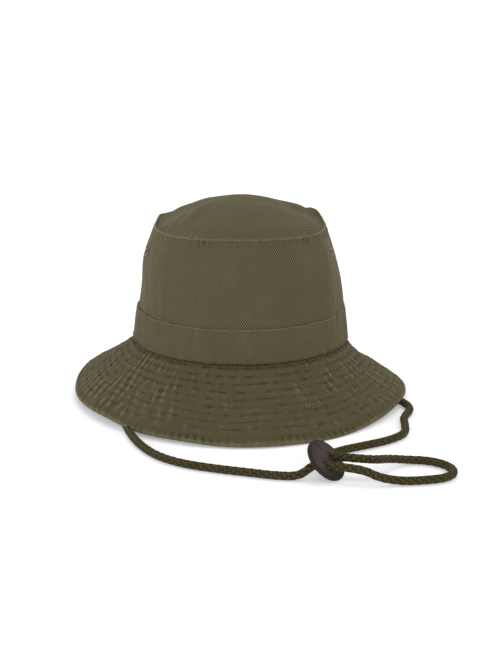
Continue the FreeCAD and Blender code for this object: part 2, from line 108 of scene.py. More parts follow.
class Finish:  # one material and the nodes in it
    def __init__(self, name):
        self.material = bpy.data.materials.new(name)
        self.material.use_nodes = True
        self.tree = self.material.node_tree
        self.tree.nodes.clear()

    def node(self, kind, settings, sockets, out=0):  # sockets come by name or in order
        made = self.tree.nodes.new("ShaderNode" + kind)
        for key, value in settings.items():
            setattr(made, key, value)
        named = sockets.items() if isinstance(sockets, dict) else enumerate(sockets)
        for key, value in named:
            if isinstance(value, Signal):
                self.tree.links.new(value.socket, made.inputs[key])
            else:
                made.inputs[key].default_value = value
        return Signal(self, made.outputs[out]) if len(made.outputs) else None

    def here(self):  # the place on the object, in metres
        return self.node("TexCoord", {}, {}, out=3)

    def flat(self):  # the place on the cloth's flat pattern, whole and then along each side
        place = self.node("UVMap", dict(uv_map="cloth"), {})
        return place, *(self.node("SeparateXYZ", {}, [place], out=i) for i in (0, 1))

    def noise(self, where, scale, detail=3.0, rough=0.5):
        return self.node("TexNoise", {},
                         {"Vector": where, "Scale": scale, "Detail": detail, "Roughness": rough})

    def blend(self, share, first, second):  # mix of two colours
        return self.node("Mix", dict(data_type="RGBA"), {0: share, 6: first, 7: second}, out=2)

    def attribute(self, name):
        return self.node("Attribute", dict(attribute_name=name), {}, out=2)

    def bump(self, height, distance, strength=1.0):
        return self.node("Bump", {}, {"Height": height, "Distance": distance, "Strength": strength})

    def surface(self, **sockets):
        names = {key: key.replace("_", " ").title().replace("Ior", "IOR") for key in sockets}
        shader = self.node("BsdfPrincipled", {}, {names[key]: value for key, value in sockets.items()})
        self.node("OutputMaterial", {}, [shader])
        return self.material


def paint(red, green, blue, level=1.0):  # an sRGB colour of 0 to 255 as the linear colour of a socket
    value = np.array([red, green, blue]) / 255
    return (*(level * np.where(value < 0.04045, value / 12.92, ((value + 0.055) / 1.055) ** 2.4)), 1.0)


# Cloth: lengths in millimetres, slants in degrees, and shares of the weave, of the mottle, of the lighter
# colour for rubbed wear and painted highlight, and of the deep colour for painted shade.
twill = dict(pitch=1.62, slant=54, yarn=1.72, yarnSlant=40, ribShare=0.32, yarnShare=0.18, contrast=1.75,
             plainPitch=0.9, plainShare=0.4, relief=0.25)
wash = dict(patches=0.24, clouds=0.12, wornAndLit=0.75, deep=0.62, darkest=0.30, lightest=1.70)


def clothFinish(name, colour, wornAndLit, deep, ribbed=True, sheen=0.12, contrast=1.0):
    # Diagonal ribs on the cloth's own flat pattern, broken into yarns, over a washed-out mottle. Where the
    # points' mark is over 0 the cloth is painted lighter, partly rubbed wear and partly painted highlight and
    # sheen; where it is under 0 it takes the deep colour, a painted shade in seams, grooves and hollows.
    f = Finish(name)
    place, across, up = f.flat()
    here = f.here()
    wander = f.noise(place, 160.0, 2.0) * 1.2
    if ribbed:
        slant, yarnSlant = np.radians(twill["slant"]), np.radians(twill["yarnSlant"])
        ribRate, yarnRate = tau / twill["pitch"] / mm, tau / twill["yarn"] / mm
        rib = (across * (ribRate * np.sin(slant)) - up * (ribRate * np.cos(slant)) + wander).sine()
        yarn = (across * (yarnRate * np.cos(yarnSlant)) + up * (yarnRate * np.sin(yarnSlant)) + wander).sine()
        slub = f.noise(place, 95.0, 2.0).ramp(0.30, 0.62)
        weave = (rib * twill["ribShare"] + yarn * twill["yarnShare"]) * slub + 0.5
    else:
        plainRate = tau / twill["plainPitch"] / mm
        plain = (across * plainRate + wander).sine() * (up * plainRate + wander).sine()
        weave = plain * twill["plainShare"] + 0.5
    fibre = f.noise(place, 2600.0, 2.0, 0.6)
    patches = f.noise(here, 34.0, 5.0, 0.65)
    clouds = f.noise(here, 9.0, 2.0)
    wearAndLight = f.attribute("wear_and_light")
    # Lighter colour: rubbed wear together with painted highlight and sheen.
    rubbedAndLit = (wearAndLight * 1.5 + (patches - 0.5) * 0.9 + (fibre - 0.5) * 0.5).ramp(0.18, 1.15)
    # Painted shade: the deep colour in seams, grooves and hollows.
    paintedHollowShade = (wearAndLight * -1.3 + (patches - 0.5) * 0.5).ramp(0.10, 1.3)
    tone = ((weave - 0.5) * (twill["contrast"] * contrast) + (patches - 0.5) * wash["patches"]
            + (clouds - 0.5) * wash["clouds"] + 0.5)
    darkest, lightest = ((*(wash[key] * c for c in colour[:3]), 1) for key in ("darkest", "lightest"))
    shade = f.blend(tone.clamp(), darkest, lightest)
    shade = f.blend(rubbedAndLit * wash["wornAndLit"], shade, wornAndLit)
    shade = f.blend(paintedHollowShade * wash["deep"], shade, deep)
    normal = f.bump(weave * 0.8 + fibre * 0.35, twill["relief"] * mm, 0.9)
    return f.surface(base_color=shade, roughness=0.90 - rubbedAndLit * 0.06, normal=normal, sheen_weight=sheen,
                     sheen_roughness=0.42, sheen_tint=paint(216, 210, 184), specular_ior_level=0.17)


# The second colour is the lighter one for rubbed wear and painted highlight, the third the colour of painted
# shade.
olive = dict(colour=paint(90, 84, 60), wornAndLit=paint(118, 112, 86), deep=paint(50, 45, 28))
# The brim's cloth is the crown's olive painted darker, a painted shade over the whole brim.
shadedBrimOlive = dict(colour=paint(84, 78, 54), wornAndLit=paint(112, 105, 77), deep=paint(44, 39, 23))

crownTwill = clothFinish("crownTwill", **olive)
brimTwill = clothFinish("brimTwill", **shadedBrimOlive, contrast=0.72)
sweatCotton = clothFinish("sweatCotton", paint(88, 82, 60), paint(112, 105, 80), paint(52, 47, 31),
                          ribbed=False)
tapeCotton = clothFinish("tapeCotton", paint(80, 74, 54), paint(104, 98, 74), paint(48, 43, 28), ribbed=False)
interlining = clothFinish("interlining", paint(206, 200, 184), paint(222, 216, 200), paint(160, 152, 134),
                          ribbed=False)
labelSatin = clothFinish("labelSatin", paint(226, 222, 208), paint(238, 235, 224), paint(190, 184, 166),
                         ribbed=False, sheen=0.5, contrast=0.4)


def threadFinish():
    f = Finish("threadFinish")
    lay = f.noise(f.here(), 900.0, 2.0)
    return f.surface(base_color=f.blend(lay, paint(60, 55, 36), paint(82, 76, 53)), roughness=0.7,
                     normal=f.bump(lay, 0.0001), sheen_weight=0.2, specular_ior_level=0.3)


def braidFinish():
    # Fine twisted yarn: a rope-like line round each yarn, with each yarn's own tone, a dusty mottle, a
    # lighter outer crown, partly rubbed wear and partly painted highlight, and a painted shade where strands
    # dip under.
    f = Finish("braidFinish")
    here = f.here()
    _, along, around = f.flat()
    twist = (along * (tau / 1.5 / mm) + around * (2 * tau) + f.noise(here, 300.0) * 2).sine() * 0.5 + 0.5
    dust = f.noise(here, 700.0, 3.0, 0.65)
    # The yarns' mark paints the outer crowns lighter and the strands darker where they dip under: painted
    # highlight and painted shade.
    share = (twist * 0.28 + dust * 0.4 + f.attribute("tone") * 0.15 + f.attribute("wear_and_light") * 1.2
             - 0.66).clamp()
    shade = f.blend(share, paint(18, 15, 4), paint(90, 82, 44))
    return f.surface(base_color=shade, roughness=0.85, normal=f.bump(twist * 0.7 + dust * 0.4, 0.00018),
                     sheen_weight=0.08, sheen_roughness=0.5, specular_ior_level=0.15)


def brassFinish():
    # Dull aged brass: dark in the hollows, rubbed bright on the roll.
    f = Finish("brassFinish")
    stain = f.noise(f.here(), 900.0, 4.0, 0.6)
    rub = (f.attribute("wear_and_light") + (stain - 0.5) * 0.8).ramp(0.1, 1.0)
    shade = f.blend(rub, paint(46, 40, 28), paint(156, 146, 116))
    return f.surface(base_color=shade, metallic=0.75 + rub * 0.2, roughness=0.52 - rub * 0.2,
                     normal=f.bump(stain, 0.00005, 0.6))


def leatherFinish():
    # Stamped leather disc: pebbled grain, cloudy dye, pale scuffs, and a painted highlight that makes the
    # edges paler, found from how sharply the surface bends.
    f = Finish("leatherFinish")
    here = f.here()
    grain = f.node("TexVoronoi", {}, {"Vector": here, "Scale": 1100.0})
    pores = f.noise(here, 1900.0, 3.0, 0.6)
    clouds = f.noise(here, 120.0, 3.0)
    scuff = f.noise(here, 300.0, 4.0, 0.7).ramp(0.56, 0.80)
    edge = f.node("NewGeometry", {}, {}, out=7).ramp(0.505, 0.56)
    shade = f.blend((clouds * 0.7 + pores * 0.3).clamp(), paint(28, 18, 16), paint(42, 31, 28))
    shade = f.blend(scuff * 0.18, shade, paint(74, 63, 59))
    # Painted highlight: paler on the sharply bent edges.
    shade = f.blend(edge * 0.28, shade, paint(104, 94, 90))
    return f.surface(base_color=shade, roughness=0.58 + clouds * 0.15 - edge * 0.1,
                     normal=f.bump(grain * 0.6 + pores * 0.5, 0.00012, 0.7), specular_ior_level=0.26)


thread = threadFinish()
braid = braidFinish()
brass = brassFinish()
leather = leatherFinish()
print("finishes made")


def putDown(name, points, faces, material, slot, node=None, uv=None, wearAndLight=None, tone=None):
    # points n x 3 in millimetres, faces m x 4, uv m x 4 x 2 in metres; wear with painted light and shade, and
    # tone, one value a point.
    # Faces that look inwards are turned over. node is the frame's solid that the piece stands for.
    solid = points[faces]
    volume = np.einsum("ij,ij->i", solid[:, 0], np.cross(solid[:, 1], solid[:, 2])).sum()
    volume += np.einsum("ij,ij->i", solid[:, 0], np.cross(solid[:, 2], solid[:, 3])).sum()
    if volume < 0:
        faces = faces[:, ::-1]
        uv = None if uv is None else uv[:, ::-1]
    mesh = bpy.data.meshes.new(name)
    mesh.vertices.add(len(points))
    mesh.vertices.foreach_set("co", (points * mm).astype(np.float32).ravel())
    mesh.loops.add(faces.size)
    mesh.loops.foreach_set("vertex_index", faces.astype(np.int32).ravel())
    mesh.polygons.add(len(faces))
    mesh.polygons.foreach_set("loop_start", np.arange(0, faces.size, 4, dtype=np.int32))
    mesh.update(calc_edges=True)
    mesh.polygons.foreach_set("use_smooth", np.ones(len(faces), bool))
    if uv is not None:
        layer = mesh.uv_layers.new(name="cloth")
        layer.data.foreach_set("uv", uv.astype(np.float32).ravel())
    for key, values in (("wear_and_light", wearAndLight), ("tone", tone)):
        if values is not None:
            layer = mesh.attributes.new(key, "FLOAT", "POINT")
            layer.data.foreach_set("value", values.astype(np.float32).ravel())
    mesh.validate()
    made = bpy.data.objects.new(name, mesh)
    bpy.context.scene.collection.objects.link(made)
    mesh.materials.append(material)
    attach(made, "hat")
    if node:
        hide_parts(node)
    return made


def loopFaces(columns, loop, closed=True):
    # The column and place of each corner of the quads between neighbouring loops of points, each loop closed
    # on itself. Columns aren't wrapped, so that the flat pattern can run on to the join.
    i, k = np.meshgrid(np.arange(columns if closed else columns - 1), np.arange(loop), indexing="ij")
    i, k = i.ravel(), k.ravel()
    return np.stack([i, i + 1, i + 1, i], -1), np.stack([k, k, (k + 1) % loop, (k + 1) % loop], -1)


def shell(name, outer, inner, material, uv, wearAndLight, hole=None, **more):
    # A cloth wall: each column runs along outer and back along inner, and the rims and both ends are closed.
    # Cells marked in hole are left out, with a wall round the opening.
    columns, rows = outer.shape[:2]
    loop = 2 * rows
    i, k = loopFaces(columns, loop, closed=False)

    def wall(column, row, nextColumn, nextRow):  # quads through the cloth, from outer to inner
        return (np.stack([column, nextColumn, nextColumn, column], -1),
                np.stack([row, nextRow, loop - 1 - nextRow, loop - 1 - row], -1))

    j = np.arange(rows - 1)
    first, last = 0 * j, 0 * j + columns - 1
    walls = [wall(first, j, first, j + 1), wall(last, j + 1, last, j)]
    if hole is not None:
        row = np.minimum(k[:, 0], loop - 2 - k[:, 0])
        keep = ~((row >= 0) & (k[:, 0] != rows - 1) & hole[i[:, 0], np.clip(row, 0, rows - 2)])
        i, k = i[keep], k[keep]
        for step, start, end in (((1, 0), (1, 0), (1, 1)), ((-1, 0), (0, 1), (0, 0)),
                                 ((0, 1), (1, 1), (0, 1)), ((0, -1), (0, 0), (1, 0))):
            c, r = np.nonzero(hole & ~np.roll(hole, (-step[0], -step[1]), (0, 1)))
            walls.append(wall(c + start[0], r + start[1], c + end[0], r + end[1]))
    i = np.concatenate([i] + [c for c, _ in walls])
    k = np.concatenate([k] + [r for _, r in walls])
    skins, uv, wearAndLight = (np.concatenate([part, part[:, ::-1]], axis=1) for part in (outer, uv, wearAndLight))
    skins[:, rows:] = inner[:, ::-1]
    return putDown(name, skins.reshape(-1, 3), i * loop + k, material, uv=uv[i, k], wearAndLight=wearAndLight, **more)


def tube(name, loops, material, wearAndLight, uv=None, **more):
    # Closed loops of points, joined into a ring, such as a band's rounded section carried round the hat.
    columns, loop = loops.shape[:2]
    i, k = loopFaces(columns, loop)
    return putDown(name, loops.reshape(-1, 3), (i % columns) * loop + k, material,
                   uv=None if uv is None else uv[i, k], wearAndLight=wearAndLight, **more)


def rodFaces(count, sides, caps):
    # The ring and place of each quad between rings of points, and the faces of the whole rod. Its caps are
    # given for the first ring, and the last ring has them turned over.
    i, k = np.meshgrid(np.arange(count - 1), np.arange(sides), indexing="ij")
    after = (k + 1) % sides
    quads = np.stack([i * sides + k, (i + 1) * sides + k, (i + 1) * sides + after, i * sides + after], -1)
    ends = np.array(caps)
    return i, k, np.concatenate([quads.reshape(-1, 4), ends, (count - 1) * sides + ends[:, ::-1]])


def smooth(low, high, value):  # 0 under low, 1 over high, eased between
    t = np.clip((value - low) / (high - low), 0, 1)
    return t * t * (3 - 2 * t)


def bell(value, width):
    return np.exp(-(value / width) ** 2)


def apart(turn, place):  # how far one turn is from another, the short way round, in degrees
    return (turn - place + 180) % 360 - 180


def bells(turn, places):  # the sum of bells round the hat, each a turn, a rise and a width in degrees
    return sum(rise * bell(apart(turn, place), width) for place, rise, width in places)


def sideGap(turn):  # how far a turn is from the nearer side seam, in degrees
    return np.minimum(np.abs(apart(turn, 0)), np.abs(apart(turn, 180)))


def crumple(turn, along, seed, around, slant, count=26):
    # A sum of waves round the hat, each a whole number of waves so that it joins up, with random slants and
    # starts. turn is in degrees, along in millimetres. The sum's usual size is 1.
    dice = np.random.default_rng(seed)
    number = dice.integers(around[0], around[1] + 1, count)
    tilt = dice.uniform(slant[0], slant[1], count)
    start = dice.uniform(0, tau, count)
    total = 0
    for m, q, s in zip(number, tilt, start):
        total = total + np.sin(m * np.radians(turn) + q * along + s)
    return total / np.sqrt(count / 2)


def ripples(x, y, seed, lengths, count=24):
    # The same over a plane, with waves of random directions whose lengths lie between the two given.
    dice = np.random.default_rng(seed)
    heading = dice.uniform(0, np.pi, count)
    rate = tau / dice.uniform(lengths[0], lengths[1], count)
    start = dice.uniform(0, tau, count)
    total = 0
    for h, r, s in zip(heading, rate, start):
        total = total + np.sin(r * (np.cos(h) * x + np.sin(h) * y) + s)
    return total / np.sqrt(count / 2)


# Chin cord. diameter is the frame's, and the ridges of the braid stand about 0.6 mm outside it.
chinCord = dict(
    diameter=5.5, step=1.10, pitch=25.0, strands=4, strandRadius=2.16, swell=0.56, start=0.4, level=0.15,
    yarnGap=0.78, yarnWide=0.90, yarnThick=0.66, yarnSides=6, uneven=0.06, coreRadius=1.70, coreSides=10,
    seed=7,
    route=[(-83.8, 0, 38), (-83.8, 0, 26), (-87.5, -14.5, 13), (-92.5, -41, 5), (-95.5, -72, 3.4),
           (-94, -102, 3.4), (-87, -132, 3.4), (-78, -159, 3.4), (-64, -186, 3.4), (-44, -204, 3.4),
           (-20, -215, 3.4), (4, -223, 3.4), (22, -229.5, 3.4), (38, -232.0, 3.4), (44.5, -230.6, 5.0),
           (49.5, -229.4, 8.8), (53.5, -229.2, 11.3), (86.2, -239.6, 11.6),
           (98, -242.5, 6.2), (114, -242.0, 3.4), (130, -240.5, 3.4), (147, -235.5, 3.4), (155.5, -223, 3.4),
           (151, -207, 3.4), (138, -197.5, 3.4), (124, -196, 3.4), (109, -205, 7.4), (93.2, -228.5, 14.6),
           (53.2, -215.9, 14.6), (55, -206.5, 9.6), (63, -192, 5.4), (76, -174, 3.4), (94.5, -163, 3.4),
           (114.5, -150.5, 3.4), (129, -134, 3.4), (131, -110, 3.4), (131.5, -92, 3.4), (140, -72, 3.4),
           (138.5, -56, 3.4),
           (131, -41, 3.6), (114.5, -25.5, 7.5), (98, -12, 15.5), (83.8, 0, 26), (83.8, 0, 38)])


def splinePoints(name, route):
    # Points read from the route's own smooth spline, an equal step apart.
    curve = bpy.data.curves.new(name, "CURVE")
    curve.dimensions = "3D"
    curve.resolution_u = 24
    spline = curve.splines.new("NURBS")
    spline.points.add(len(route) - 1)
    spline.points.foreach_set("co", np.array([(*np.multiply(p, mm), 1.0) for p in route]).ravel())
    spline.order_u = 3
    spline.use_endpoint_u = True
    line = bpy.data.objects.new(name, curve)
    bpy.context.scene.collection.objects.link(line)
    bpy.context.view_layer.update()
    mesh = bpy.data.meshes.new_from_object(line.evaluated_get(bpy.context.evaluated_depsgraph_get()))
    spots = np.zeros(len(mesh.vertices) * 3)
    mesh.vertices.foreach_get("co", spots)
    bpy.data.meshes.remove(mesh)
    bpy.data.objects.remove(line)
    bpy.data.curves.remove(curve)
    return spots.reshape(-1, 3) / mm


def alongLine(spots, step):
    travelled = np.concatenate([[0], np.cumsum(np.linalg.norm(np.diff(spots, axis=0), axis=1))])
    count = int(round(travelled[-1] / step)) + 1
    place = np.linspace(0, travelled[-1], count)
    return np.stack([np.interp(place, travelled, spots[:, i]) for i in range(3)], 1), place


def unit(vectors):
    return vectors / np.maximum(np.linalg.norm(vectors, axis=-1, keepdims=True), 1e-9)


def braidCord(name):
    # Two families of strands wind round the line in opposite ways, over one and under one: a strand's angle
    # grows evenly along the line, and its distance from the line swells and sinks with the cosine of strands
    # times that angle. Each strand is two flat yarns side by side. Where the line is too steep to have a
    # level side, the side is carried over from its neighbours.
    c = chinCord
    line, place = alongLine(splinePoints("cordLine", c["route"]), c["step"])
    ahead = unit(np.gradient(line, axis=0))
    flat = np.maximum(np.hypot(ahead[:, 0], ahead[:, 1]), 1e-6)
    steady = flat > c["level"]
    side = np.stack([np.interp(place, place[steady], column[steady]) for column in
                     (-ahead[:, 1] / flat, ahead[:, 0] / flat)] + [0 * place], 1)
    side = unit(side - ahead * np.sum(side * ahead, 1, keepdims=True))
    top = np.cross(ahead, side)
    speed = tau / c["pitch"]
    ring = np.linspace(0, tau, c["yarnSides"], endpoint=False) + tau / 12
    i, k, yarnFaces = rodFaces(len(line), c["yarnSides"], [[3, 2, 1, 0], [0, 5, 4, 3]])
    lengths = np.stack([place[i], place[i + 1], place[i + 1], place[i]], -1) * mm
    turns = np.stack([k, k, k + 1, k + 1], -1) / c["yarnSides"]
    yarnUv = np.concatenate([np.stack([lengths, turns], -1).reshape(-1, 4, 2), np.zeros((4, 4, 2))])
    dice = np.random.default_rng(c["seed"])
    # The rubbed places below are partly rubbed wear and partly painted highlight and painted shade.
    parts = []  # points, faces, flat pattern, rubbed places and tone of each yarn and of the core
    for family in (1, -1):
        for strand in range(c["strands"]):
            for yarn in (-1, 1):
                angle = family * speed * place + tau * strand / c["strands"] + c["start"]
                swell = family * np.cos(c["strands"] * speed * place)
                radius = (c["strandRadius"] + c["swell"] * swell)[:, None]
                out = np.cos(angle)[:, None] * side + np.sin(angle)[:, None] * top
                middle = line + radius * out
                across = np.cross(unit(np.gradient(middle, axis=0)), out)
                out = unit(middle + yarn * c["yarnGap"] * across - line)
                thick = c["yarnThick"] * (1 + c["uneven"] * np.sin(place * 0.9 + strand))
                outwards = (thick[:, None] * out)[:, None]
                section = ((line + out * radius)[:, None] + np.cos(ring)[None, :, None] * outwards
                           + np.sin(ring)[None, :, None] * c["yarnWide"] * across[:, None])
                # Lighter on each yarn's outer face and where its strand rides over, darker where it dips
                # under: painted highlight, partly rubbed wear, and painted shade.
                rubbedAndLit = (0.5 + 0.5 * swell[:, None]) * (0.55 + 0.45 * np.cos(ring))
                parts.append((section, yarnFaces, yarnUv, rubbedAndLit, dice.uniform(0, 1)))
    angle = np.linspace(0, tau, c["coreSides"], endpoint=False)[None, :, None]
    core = (line[::2, None]
            + c["coreRadius"] * (np.cos(angle) * side[::2, None] + np.sin(angle) * top[::2, None]))
    _, _, coreFaces = rodFaces(len(core), c["coreSides"],
                               [[3, 2, 1, 0], [0, 5, 4, 3], [0, 9, 6, 5], [9, 8, 7, 6]])
    parts.append((core, coreFaces, np.zeros((len(coreFaces), 4, 2)), np.zeros(core.shape[:2]), 0.0))
    sections, faces, uvs, litAndRubbedParts, tones = zip(*parts)
    sizes = [rub.size for rub in litAndRubbedParts]
    firsts = np.cumsum([0] + sizes[:-1])
    made = putDown(name, np.concatenate([section.reshape(-1, 3) for section in sections]),
                   np.concatenate([quads + first for quads, first in zip(faces, firsts)]), braid,
                   uv=np.concatenate(uvs), wearAndLight=np.concatenate([rub.ravel() for rub in litAndRubbedParts]),
                   tone=np.repeat(tones, sizes), slot="cord_braid", node="chin_cord")


braidCord("chinCord")


# Crown. A corner, crease, lift or painted sheen is a turn, a rise and a width: the painted sheen lightens
# the side walls where its rise is above 0 and is a painted shade where it is below 0. A bulge is a turn, a
# height, a rise, a width and a reach up and down.
wallLow, wallHigh = span("crown_side_front")
crown = dict(
    ratio=1.1, headline=wallLow[2], rim=wallHigh[2], shoulder=119.0, headlineHalf=wallHigh[0],
    shoulderHalf=80.5, rimHalf=71.5, shoulderEase=2.4, cloth=0.7, square=0.62, squareFrom=62.0,
    liftFrom=118, leanFrom=100,
    corners=[(221, 1.7, 8), (327, 1.9, 7), (41, 1.5, 9), (139, 1.5, 9)], cornerLean=0.05,
    creases=[(206, 0.8, 4), (314, 1.3, 4), (297, 0.35, 6), (246, 0.4, 7)], creaseLean=-0.04,
    bulges=[(190, 125, 3.4, 22, 22), (350, 92, 2.2, 22, 26)],
    lifts=[(33, 5.4, 14), (140, 1.6, 20), (162, 2.8, 9)],
    # Painted sheen on the left and right walls, and a painted shade beside the right crease.
    paintedSheenAndShade=[(200, 0.34, 13), (340, 0.16, 10), (316, -0.14, 5)], slow=0.30, fine=0.06, seamRow=5.2,
    rowDip=0.18, pucker=0.24, columns=300, rows=104, rimRows=22)


def slopeAt(value, low, high, first, last):  # a straight slope, first at low and last at high
    return first + (value - low) * (last - first) / (high - low)


def wallHalf(height):  # half width of the crown: two slopes, eased into each other at the shoulder
    c = crown
    lower = slopeAt(height, c["headline"], c["shoulder"], c["headlineHalf"], c["shoulderHalf"])
    upper = slopeAt(height, c["shoulder"], c["rim"], c["shoulderHalf"], c["rimHalf"])
    return (lower + upper - np.sqrt((lower - upper) ** 2 + c["shoulderEase"] ** 2)) / 2


def squareness(height):  # exponent of the crown's outline: 2 is an oval, more is squarer
    return 2 + crown["square"] * smooth(crown["squareFrom"], crown["rim"], height)


def fineWaves(turn, height):
    return crown["fine"] * crumple(turn, height, 4, (24, 60), (-0.25, 0.25))


def wallFolds(turn, height):
    # Soft upright corners and creases that lean a little, a slow crumple, broad bulges and fine waves.
    c = crown
    reach = (smooth(c["headline"] - 5, c["headline"] + 34, height)
             * (1 - smooth(c["rim"] - 12, c["rim"] + 2, height)))
    leaning = height - c["leanFrom"]
    folds = (bells(turn - c["cornerLean"] * leaning, c["corners"])
             - bells(turn - c["creaseLean"] * leaning, c["creases"])
             + c["slow"] * crumple(turn, height, 3, (5, 14), (-0.06, 0.06)))
    bulged = sum(rise * bell(apart(turn, place), width) * bell(height - level, tall)
                 for place, level, rise, width, tall in c["bulges"])
    return folds * reach + bulged + fineWaves(turn, height)


def rimLift(turn):  # the seam round the tip stands a little higher here and there
    return bells(turn, crown["lifts"])


def rimPuckers(turn, height):  # short puckers under the seam round the tip
    return crumple(turn, height, 5, (70, 130), (-0.2, 0.2)) * bell(crown["rim"] - height - 3.2, 3.4)


def sideSeam(turn):  # a flat seam down each side: a groove with a raised strip beside it, at 1.45 mm a degree
    away = sideGap(turn) * 1.45
    return -0.5 * bell(away, 0.7) + 0.28 * smooth(0.6, 1.4, away) * (1 - smooth(6.6, 7.6, away))


def wallPoint(turn, height, outward):
    # Point on the crown: a squared oval whose half width at this height has the outward distance added.
    half = wallHalf(height) + outward
    n = squareness(height)
    across, along = np.cos(np.radians(turn)), np.sin(np.radians(turn))
    reach = (np.abs(across) ** n + np.abs(along) ** n) ** (-1 / n)
    return np.stack([half * across * reach, half * crown["ratio"] * along * reach,
                     height + rimLift(turn) * smooth(crown["liftFrom"], crown["rim"], height)], -1)


def clothUv(turn, height, radius=86.0):
    return np.stack(np.broadcast_arrays(np.radians(turn) * radius * mm, height * mm), -1)


eyeletSpots = dict(right_front=-20.0, right_rear=20.0, left_rear=160.0, left_front=200.0)
eyelet = dict(height=127.5, bore=2.0, flange=3.6, roll=0.7, lift=0.12, barrelLow=-1.9, washer=3.9,
              washerBore=2.6, hole=2.9, sides=40)


def crownSide(name, node, start, end):
    # Half the wall. It has a flat seam at each side, a sewn row and a ridge under the tip, a curl where the
    # cloth turns in, and a hole for each eyelet. down is the distance under the rim.
    c = crown
    turns = np.linspace(start, end, c["columns"])[:, None]
    heights = np.concatenate([np.linspace(c["headline"], c["rim"] - 6, c["rows"] - c["rimRows"]),
                              np.linspace(c["rim"] - 5.6, c["rim"] + 0.55, c["rimRows"])])[None, :]
    down = c["rim"] - heights
    puckers = rimPuckers(turns, heights)
    ridge = 0.28 * smooth(1.2, 0.6, down) - 0.12 * bell(down - 1.8, 0.6)
    outward = (wallFolds(turns, heights) + sideSeam(turns) + c["pucker"] * puckers + ridge
               - c["rowDip"] * bell(down - c["seamRow"], 0.7))
    curl = 1.3 * smooth(0.1, -0.6, down)
    outer = wallPoint(turns, heights, outward - curl)
    inner = wallPoint(turns, heights - 0.35 * smooth(0, -0.9, down),
                      outward - c["cloth"] - 0.9 * smooth(2, 0, down) - 0.3 * curl)
    # The corners are lighter, partly rubbed wear and partly painted sheen. Below, the seam's ridge under the
    # tip is lighter, partly rubbed wear and partly painted highlight, the line just under it is a painted
    # shade, and the side walls get the painted sheen and shade listed above.
    cornerWearAndSheen = bells(turns, [(place, 0.2, 0.6 * width) for place, _, width in c["corners"]])
    wearAndLight = (0.15 * puckers * bell(down - 2.4, 2.0) + 0.5 * smooth(0.6, 0.1, down)
              - 0.26 * bell(down - 1.6, 0.6) + fineWaves(turns, heights)
              + cornerWearAndSheen * smooth(70, 95, heights) + bells(turns, c["paintedSheenAndShade"]))
    cells = np.zeros((c["columns"], c["rows"] - 1), bool)
    middle = (outer[:-1, :-1] + outer[1:, 1:]) / 2
    for spot in eyeletSpots.values():
        place = np.array(spot), np.array(eyelet["height"])
        seat = wallPoint(*place, wallFolds(*place))
        cells[:-1] |= np.linalg.norm(middle - seat, axis=-1) < eyelet["hole"]
    shell(name, outer, inner, crownTwill, clothUv(turns, heights), wearAndLight, hole=cells, slot="crown_twill",
          node=node)


crownSide("crownSideFront", "crown_side_front", 180.0, 360.0)
crownSide("crownSideRear", "crown_side_rear", 0.0, 180.0)
print("crown wall made")


# Crown tip. A fold is its first place, its last place, its rise and its width.
tip = dict(inset=0.45, above=0.15, rise=23.2, dip=1.2, cloth=0.7, grid=200, soft=0.32, fine=0.05,
           folds=[((-56, -56), (-12, 4), 2.5, 5.5), ((-63, -48), (-42, -14), 2.0, 4.5),
                  ((-62, 6), (-20, 26), 0.6, 20), ((-63, 16), (-50, 38), -1.6, 5),
                  ((33, 12), (82, 38), -6.4, 14), ((-58, -58), (28, -36), 0.8, 8),
                  ((62, -54), (24, -24), 0.8, 8), ((64, -40), (44, 14), 0.6, 7),
                  ((-60, 30), (-20, 46), 0.5, 8), ((58, 44), (30, 30), 0.5, 8)])


def tipHeight(x, y, reach):
    # A dome that dips just inside the seam and then rises, with soft folds running in from the corners. reach
    # is 0 in the middle and 1 at the seam.
    t = tip
    dome = t["rise"] * (1 - reach ** 2.2) * smooth(1.5, 0.0, reach) ** 0.28
    height = dome - t["dip"] * bell(reach - 0.93, 0.075)
    for (ax, ay), (bx, by), rise, width in t["folds"]:
        dx, dy = bx - ax, by - ay
        share = np.clip(((x - ax) * dx + (y - ay) * dy) / (dx * dx + dy * dy), 0, 1)
        gap = np.hypot(x - ax - share * dx, y - ay - share * dy)
        ends = smooth(0, 0.3, share) * smooth(1, 0.6, share) * smooth(1.0, 0.88, reach)
        height = height + rise * (1 - 0.5 * share) * bell(gap, width) * ends
    soft = t["soft"] * ripples(x, y, 11, (26, 70)) + t["fine"] * ripples(x, y, 12, (9, 18))
    return height + smooth(1.02, 0.8, reach) * soft


def crownTip(name):
    # A square grid drawn into the rim's outline by the usual square-to-disc map, so there is no pole.
    t, rim = tip, crown["rim"]
    a, b = np.meshgrid(*[np.linspace(-1, 1, t["grid"])] * 2, indexing="ij")
    u, v = a * np.sqrt(1 - b * b / 2), b * np.sqrt(1 - a * a / 2)
    reach = np.hypot(u, v)
    turn = np.degrees(np.arctan2(v, u))
    edge = wallPoint(turn, np.full_like(turn, rim), -t["inset"])
    x, y = edge[..., 0] * reach, edge[..., 1] * reach
    puckers = crumple(turn, reach * 70, 21, (60, 120), (-0.15, 0.15)) * bell(reach - 0.95, 0.055)
    z = (rim + t["above"] + rimLift(turn) * smooth(0.45, 1.0, reach) + tipHeight(x, y, reach) + 0.2 * puckers
         - 0.35 * bell(reach - 1.0, 0.01))
    outer = np.stack([x, y, z], -1)
    # Pucker crests are lighter, and a painted shade runs just inside the seam.
    wearAndLight = 0.18 * puckers + 0.08 * ripples(x, y, 12, (9, 18)) - 0.3 * bell(reach - 0.985, 0.01)
    shell(name, outer, outer - np.array([0, 0, t["cloth"]]), crownTwill, np.stack([x, y], -1) * mm, wearAndLight,
          slot="crown_twill", node="crown_tip")


crownTip("crownTip")
print("crown tip made")


